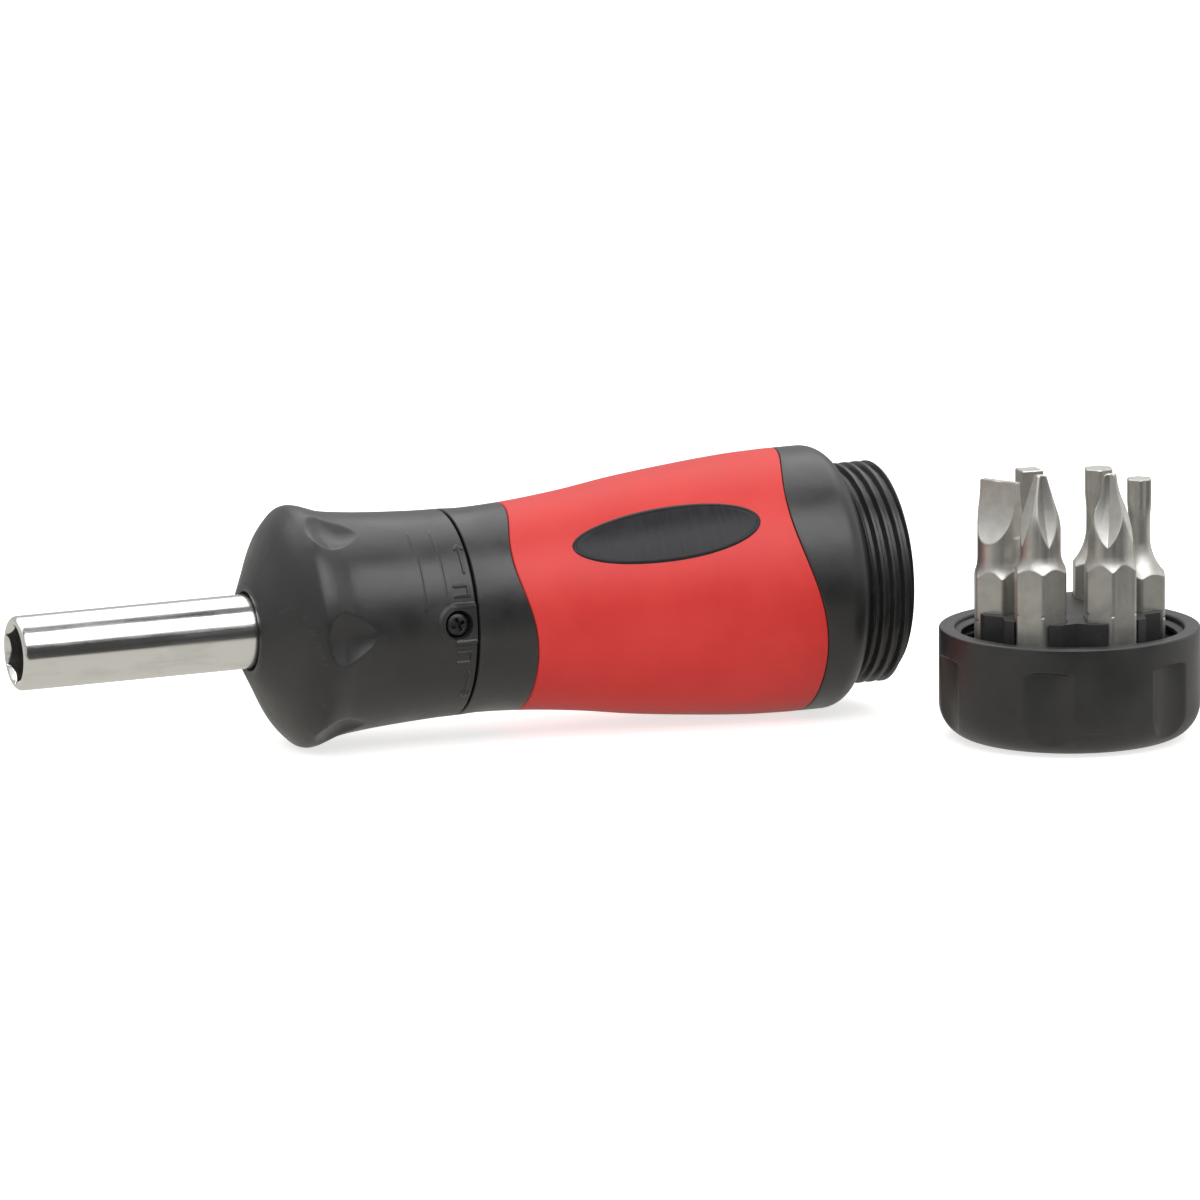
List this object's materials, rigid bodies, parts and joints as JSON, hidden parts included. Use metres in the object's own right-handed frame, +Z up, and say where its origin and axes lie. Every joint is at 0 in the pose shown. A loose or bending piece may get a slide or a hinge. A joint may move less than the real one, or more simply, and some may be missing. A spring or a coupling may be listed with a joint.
{
  "type": "ratcheting screwdriver",
  "caption": "Stubby reversible ratcheting screwdriver with a soft grip, a selector collar, a hex socket shaft and a screw-off cap that holds spare driver bits.",
  "frame": {"origin": "middle of the base of the whole set's box: the driver lying on the ground and its cap standing beside it", "axes": "+X along the driver from its socket to its open rear end, +Z up, -Y towards the side where the cap stands"},
  "size_m": [0.1488, 0.0624, 0.0352],
  "materials": {
    "shaft_chrome": "polished",
    "gear_steel": "machined",
    "spring_steel": "drawn wire",
    "magnet": "plain",
    "bronze": "sintered",
    "cam_plastic": "moulded",
    "black_plastic": "satin moulded",
    "screw_black": "black oxide",
    "red_rubber": "matte overmoulded",
    "badge_black": "gloss",
    "bit_steel": "satin, tumbled"
  },
  "bodies": {
    "handle": {"handle_core": "black_plastic", "grip": "red_rubber", "badge": "badge_black", "pawl_carrier": "gear_steel", "carrier_screws": "gear_steel", "front_bush": "bronze", "rear_bush": "bronze", "rear_washer": "gear_steel", "pawl_pins": "gear_steel", "pawl_spring": "spring_steel", "detent_spring": "spring_steel"},
    "shaft": {"drive_shaft": "shaft_chrome", "bit_magnet": "magnet", "ratchet_gear": "gear_steel", "shaft_clip": "gear_steel"},
    "selector": {"selector_collar": "black_plastic", "cam_ring": "cam_plastic", "collar_screw": "screw_black"},
    "forward_pawl": {"forward_pawl": "gear_steel"},
    "reverse_pawl": {"reverse_pawl": "gear_steel"},
    "cap": {"cap": "black_plastic", "bit_holder": "black_plastic"},
    "wide_slotted_bit": {"wide_slotted_bit": "bit_steel"},
    "small_cross_bit": {"small_cross_bit": "bit_steel"},
    "large_cross_bit": {"large_cross_bit": "bit_steel"},
    "small_star_bit": {"small_star_bit": "bit_steel"},
    "large_star_bit": {"large_star_bit": "bit_steel"},
    "square_bit": {"square_bit": "bit_steel"}
  },
  "joints": [
    {"name": "shaft_spin", "type": "hinge", "parent": "handle", "child": "shaft", "pos_m": [-0.0593, 0.01425, 0.01498], "axis": [0.9997, 0, 0.0231], "continuous": true},
    {"name": "selector_turn", "type": "hinge", "parent": "handle", "child": "selector", "pos_m": [-0.02431, 0.01425, 0.01579], "axis": [0.9997, 0, 0.0231], "range_deg": [-20, 20], "deforming": ["detent_spring"]},
    {"name": "forward_pawl_swing", "type": "hinge", "parent": "handle", "child": "forward_pawl", "pos_m": [-0.03602, 0.02134, 0.02039], "axis": [0.9997, 0, 0.0231], "range_deg": [-8, 8], "deforming": ["pawl_spring"]},
    {"name": "reverse_pawl_swing", "type": "hinge", "parent": "handle", "child": "reverse_pawl", "pos_m": [-0.03602, 0.00716, 0.02039], "axis": [0.9997, 0, 0.0231], "range_deg": [-8, 8]},
    {"name": "cap_lift", "type": "slide", "parent": "handle", "child": "cap", "axis": [0, 0, 1], "range_m": [0, 0.08]},
    {"name": "wide_slotted_bit_draw", "type": "slide", "parent": "cap", "child": "wide_slotted_bit", "axis": [0, 0, 1], "range_m": [0, 0.026]},
    {"name": "small_cross_bit_draw", "type": "slide", "parent": "cap", "child": "small_cross_bit", "axis": [0, 0, 1], "range_m": [0, 0.026]},
    {"name": "large_cross_bit_draw", "type": "slide", "parent": "cap", "child": "large_cross_bit", "axis": [0, 0, 1], "range_m": [0, 0.026]},
    {"name": "small_star_bit_draw", "type": "slide", "parent": "cap", "child": "small_star_bit", "axis": [0, 0, 1], "range_m": [0, 0.026]},
    {"name": "large_star_bit_draw", "type": "slide", "parent": "cap", "child": "large_star_bit", "axis": [0, 0, 1], "range_m": [0, 0.026]},
    {"name": "square_bit_draw", "type": "slide", "parent": "cap", "child": "square_bit", "axis": [0, 0, 1], "range_m": [0, 0.026]}
  ],
  "couplings": [
    {"joint": "forward_pawl_swing", "follows": "selector_turn", "ratio": 0.4},
    {"joint": "reverse_pawl_swing", "follows": "selector_turn", "ratio": 0.4}
  ]
}
